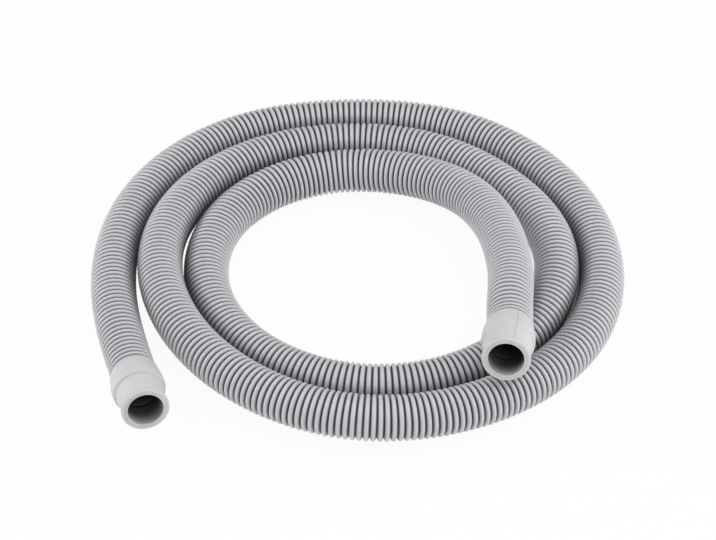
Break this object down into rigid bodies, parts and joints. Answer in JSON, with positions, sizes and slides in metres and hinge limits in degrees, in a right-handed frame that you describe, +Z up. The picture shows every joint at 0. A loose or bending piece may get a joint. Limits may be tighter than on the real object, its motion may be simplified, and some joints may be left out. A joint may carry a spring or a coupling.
{
  "type": "dishwasher drain hose",
  "caption": "Light grey corrugated drain hose lying in a loose flat coil, with a moulded rubber cuff on each end for a pump outlet and a waste spigot.",
  "frame": {"origin": "middle of the coil's footprint, on the floor that it lies on", "axes": "+Z up; both cuffs' mouths face roughly -Y, toward the front, and +X is to the right seen from there"},
  "size_m": [0.296, 0.2934, 0.0585],
  "materials": {
    "hose_plastic": "light grey polypropylene, semi-gloss, closely ribbed",
    "cuff_rubber": "light grey moulded rubber, smooth and matt"
  },
  "bodies": {
    "root": {"corrugated_hose": "hose_plastic", "left_cuff": "cuff_rubber", "right_cuff": "cuff_rubber"}
  },
  "joints": []
}
